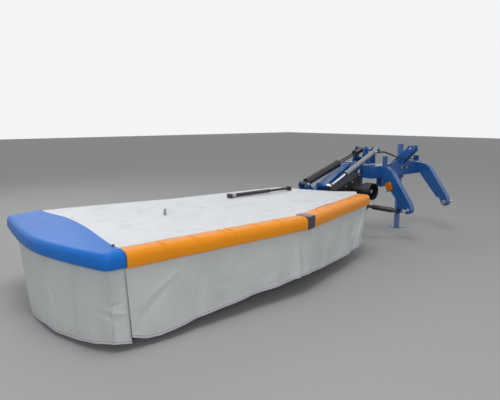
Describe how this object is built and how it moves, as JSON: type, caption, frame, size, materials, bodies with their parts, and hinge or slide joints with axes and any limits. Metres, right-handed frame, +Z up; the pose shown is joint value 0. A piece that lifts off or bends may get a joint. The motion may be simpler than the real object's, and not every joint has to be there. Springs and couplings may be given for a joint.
{
  "type": "side disc mower",
  "caption": "Rear-mounted side disc mower with an orange front bumper, blue end cap and fabric covers, parked with its bar lowered and its headstock on a stand.",
  "frame": {"origin": "centre of the bounding box's base, on the ground", "axes": "+X outboard, from the headstock toward the bar's outer end; +Y the way the tractor travels; +Z up"},
  "size_m": [4.4876, 1.558, 1],
  "materials": {
    "blue_paint": "gloss paint",
    "orange_bumper": "satin moulded plastic",
    "blue_cap": "satin moulded plastic",
    "tarp_white": "coated tarpaulin",
    "skirt_grey": "coated tarpaulin",
    "black_paint": "satin paint",
    "black_plastic": "matt",
    "grey_paint": "satin paint",
    "zinc": "zinc plated",
    "chrome_rod": "polished",
    "iron": "bare casting",
    "knife_steel": "hardened",
    "hose_rubber": "matt"
  },
  "bodies": {
    "headstock": {"hitch_frame": "blue_paint", "hitch_pins": "zinc", "top_link_pin": "zinc", "lift_hose": "hose_rubber", "hose_coupler": "zinc", "stay_tube": "black_paint"},
    "stand": {"stand_leg": "blue_paint"},
    "swing_turret": {"turret": "blue_paint", "apex_bracket": "blue_paint"},
    "stay_inner": {"stay_rod": "black_paint"},
    "arm": {"swing_arm": "blue_paint", "belt_guard": "black_plastic", "input_guard": "black_plastic"},
    "input_shaft": {"pto_stub": "zinc"},
    "lift_barrel": {"cylinder_barrel": "grey_paint"},
    "lift_rod": {"cylinder_rod": "chrome_rod"},
    "spring_guide": {"spring_rods": "black_paint"},
    "spring_case": {"spring_tube": "black_paint"},
    "head": {"head_bracket": "blue_paint", "carrier_beam": "blue_paint", "gearbox": "iron", "cutterbar": "blue_paint", "skid_shoes": "black_paint", "cover_frame": "blue_paint", "top_tarp": "tarp_white", "rear_skirt": "skirt_grey", "end_cap": "blue_cap", "end_skirt": "skirt_grey", "tie_bar": "black_paint", "tie_brackets": "black_paint", "tarp_hook": "grey_paint"},
    "front_guard": {"guard_frame": "blue_paint", "front_tarp": "tarp_white", "front_skirt": "skirt_grey", "bumper_outer": "orange_bumper", "bumper_inner": "orange_bumper", "bumper_clip": "blue_cap"},
    "rotor_1": {"disc_1": "knife_steel"},
    "rotor_2": {"disc_2": "knife_steel"},
    "rotor_3": {"disc_3": "knife_steel"},
    "rotor_4": {"disc_4": "knife_steel"},
    "rotor_5": {"disc_5": "knife_steel"},
    "rotor_6": {"disc_6": "knife_steel"}
  },
  "joints": [
    {"name": "stand_slide", "type": "slide", "parent": "headstock", "child": "stand", "axis": [0, 0, 1], "range_m": [0, 0.3]},
    {"name": "king_swing", "type": "hinge", "parent": "headstock", "child": "swing_turret", "pos_m": [-1.25625, -0.097, 0.7], "axis": [0, 0, 1], "range_deg": [-22, 0]},
    {"name": "stay_slide", "type": "slide", "parent": "headstock", "child": "stay_inner", "axis": [0.4689, -0.8773, 0.1029], "range_m": [0, 0.075]},
    {"name": "arm_lift", "type": "hinge", "parent": "swing_turret", "child": "arm", "pos_m": [-1.16625, -0.237, 0.754], "axis": [0, -1, 0], "range_deg": [-5, 78], "deforming": ["lift_hose"]},
    {"name": "cylinder_turn", "type": "hinge", "parent": "swing_turret", "child": "lift_barrel", "pos_m": [-1.43125, -0.042, 0.945], "axis": [0, -1, 0], "range_deg": [-4, 54]},
    {"name": "cylinder_slide", "type": "slide", "parent": "lift_barrel", "child": "lift_rod", "axis": [0.9163, 0, -0.4005], "range_m": [-0.24, 0.02]},
    {"name": "spring_turn", "type": "hinge", "parent": "swing_turret", "child": "spring_guide", "pos_m": [-1.43125, -0.237, 0.945], "axis": [0, -1, 0], "range_deg": [-5, 60]},
    {"name": "spring_slide", "type": "slide", "parent": "spring_guide", "child": "spring_case", "axis": [0.9495, 0, -0.3138], "range_m": [-0.3, 0.025]},
    {"name": "head_fold", "type": "hinge", "parent": "arm", "child": "head", "pos_m": [-0.57625, -0.237, 0.45], "axis": [0, -1, 0], "range_deg": [-8, 10]},
    {"name": "guard_lift", "type": "hinge", "parent": "head", "child": "front_guard", "pos_m": [0.59375, 0.213, 0.576], "axis": [1, 0, 0], "range_deg": [0, 90]},
    {"name": "input_spin", "type": "hinge", "parent": "arm", "child": "input_shaft", "pos_m": [-0.99625, 0.173, 0.56], "axis": [0, 1, 0], "continuous": true},
    {"name": "rotor_spin_1", "type": "hinge", "parent": "head", "child": "rotor_1", "pos_m": [-0.23625, 0.023, 0.13], "axis": [0, 0, 1], "continuous": true},
    {"name": "rotor_spin_2", "type": "hinge", "parent": "head", "child": "rotor_2", "pos_m": [0.16375, 0.023, 0.13], "axis": [0, 0, 1], "continuous": true},
    {"name": "rotor_spin_3", "type": "hinge", "parent": "head", "child": "rotor_3", "pos_m": [0.56375, 0.023, 0.13], "axis": [0, 0, 1], "continuous": true},
    {"name": "rotor_spin_4", "type": "hinge", "parent": "head", "child": "rotor_4", "pos_m": [0.96375, 0.023, 0.13], "axis": [0, 0, 1], "continuous": true},
    {"name": "rotor_spin_5", "type": "hinge", "parent": "head", "child": "rotor_5", "pos_m": [1.36375, 0.023, 0.13], "axis": [0, 0, 1], "continuous": true},
    {"name": "rotor_spin_6", "type": "hinge", "parent": "head", "child": "rotor_6", "pos_m": [1.76375, 0.023, 0.13], "axis": [0, 0, 1], "continuous": true}
  ],
  "couplings": [
    {"joint": "stay_slide", "follows": "king_swing", "m_per_rad": -0.182},
    {"joint": "cylinder_turn", "follows": "arm_lift", "ratio": 0.67},
    {"joint": "cylinder_slide", "follows": "arm_lift", "m_per_rad": -0.17},
    {"joint": "spring_turn", "follows": "arm_lift", "ratio": 0.73},
    {"joint": "spring_slide", "follows": "arm_lift", "m_per_rad": -0.21},
    {"joint": "input_spin", "follows": "rotor_spin_1", "ratio": 0.18},
    {"joint": "rotor_spin_2", "follows": "rotor_spin_1", "ratio": -1},
    {"joint": "rotor_spin_3", "follows": "rotor_spin_1", "ratio": 1},
    {"joint": "rotor_spin_4", "follows": "rotor_spin_1", "ratio": -1},
    {"joint": "rotor_spin_5", "follows": "rotor_spin_1", "ratio": 1},
    {"joint": "rotor_spin_6", "follows": "rotor_spin_1", "ratio": -1}
  ]
}
